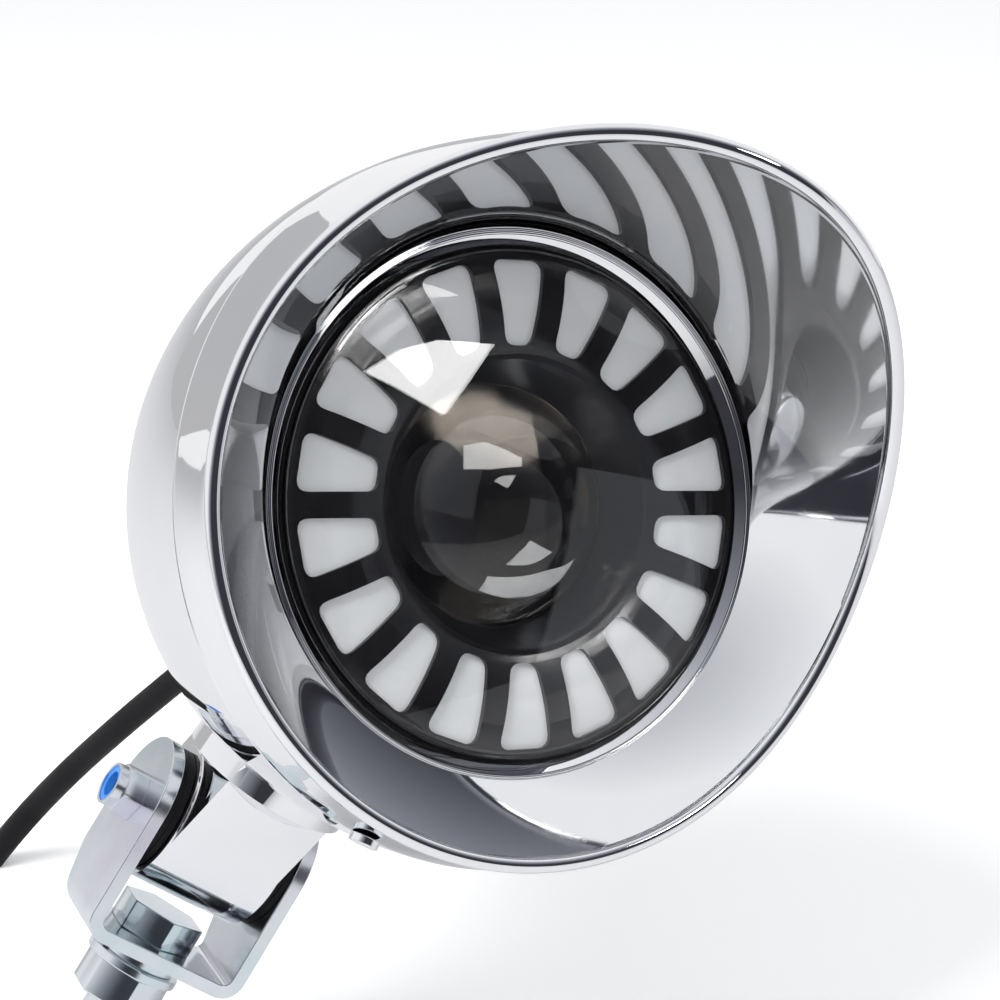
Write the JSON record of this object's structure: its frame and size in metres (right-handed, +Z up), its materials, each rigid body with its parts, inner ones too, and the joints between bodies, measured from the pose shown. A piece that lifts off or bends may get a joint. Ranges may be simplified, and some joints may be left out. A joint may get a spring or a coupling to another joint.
{
  "type": "motorcycle spotlight",
  "caption": "Chrome bullet spotlight with a peaked trim ring, a projector lens inside a ring of lit windows, and a tilting foot in a U-shaped bracket with a stud mount.",
  "frame": {"origin": "free end of the mounting stud, on its axis", "axes": "+Z up along the mounting stud, the lamp faces -Y, +X across along the cross bolt towards its head"},
  "size_m": [0.144, 0.2146, 0.4043],
  "materials": {
    "chrome": "mirror bright chrome plate",
    "clear_glass": "clear polished",
    "black_rubber": "satin",
    "black_plastic": "semi-gloss",
    "milky_plastic": "milky satin",
    "circuit_board": "matte",
    "led": "gloss",
    "black_metal": "satin black",
    "bare_aluminium": "as cast",
    "zinc_plate": "bright blue-white zinc plate",
    "yellow_zinc": "pale yellow zinc plate",
    "blue_nylon": "satin",
    "red_wire": "satin",
    "brass": "tinned brass"
  },
  "bodies": {
    "mount": {"mount_bolt": "zinc_plate", "spring_washer": "zinc_plate", "flat_washer": "zinc_plate", "mount_nut": "zinc_plate"},
    "bracket": {"u_bracket": "zinc_plate", "cross_bolt": "yellow_zinc", "rubber_washers": "black_rubber", "lock_nut": "zinc_plate", "nylon_ring": "blue_nylon"},
    "lamp": {"housing_shell": "chrome", "visor_ring": "chrome", "knuckle_foot": "chrome", "ring_screw": "chrome", "reflector_bowl": "chrome", "front_glass": "clear_glass", "projector_lens": "clear_glass", "glass_gasket": "black_rubber", "cord_grommet": "black_rubber", "cord": "black_rubber", "cord_sleeve": "black_rubber", "window_mask": "black_plastic", "lens_shroud": "black_plastic", "diffuser_ring": "milky_plastic", "ring_led_board": "circuit_board", "main_led_board": "circuit_board", "ring_leds": "led", "main_led": "led", "module_case": "black_metal", "module_tube": "black_metal", "driver_box": "black_metal", "heat_sink": "bare_aluminium", "lens_holder": "bare_aluminium", "mouth_ring": "zinc_plate", "foot_bolt": "zinc_plate", "foot_bolt_washer": "zinc_plate", "lead_wires": "red_wire", "lead_terminals": "brass"}
  },
  "joints": [
    {"name": "bracket_swivel", "type": "hinge", "parent": "mount", "child": "bracket", "pos_m": [0, 0, 0.0285], "axis": [0, 0, 1], "range_deg": [-90, 90]},
    {"name": "lamp_tilt", "type": "hinge", "parent": "bracket", "child": "lamp", "pos_m": [0, 0, 0.055], "axis": [1, 0, 0], "range_deg": [-30, 45]}
  ]
}
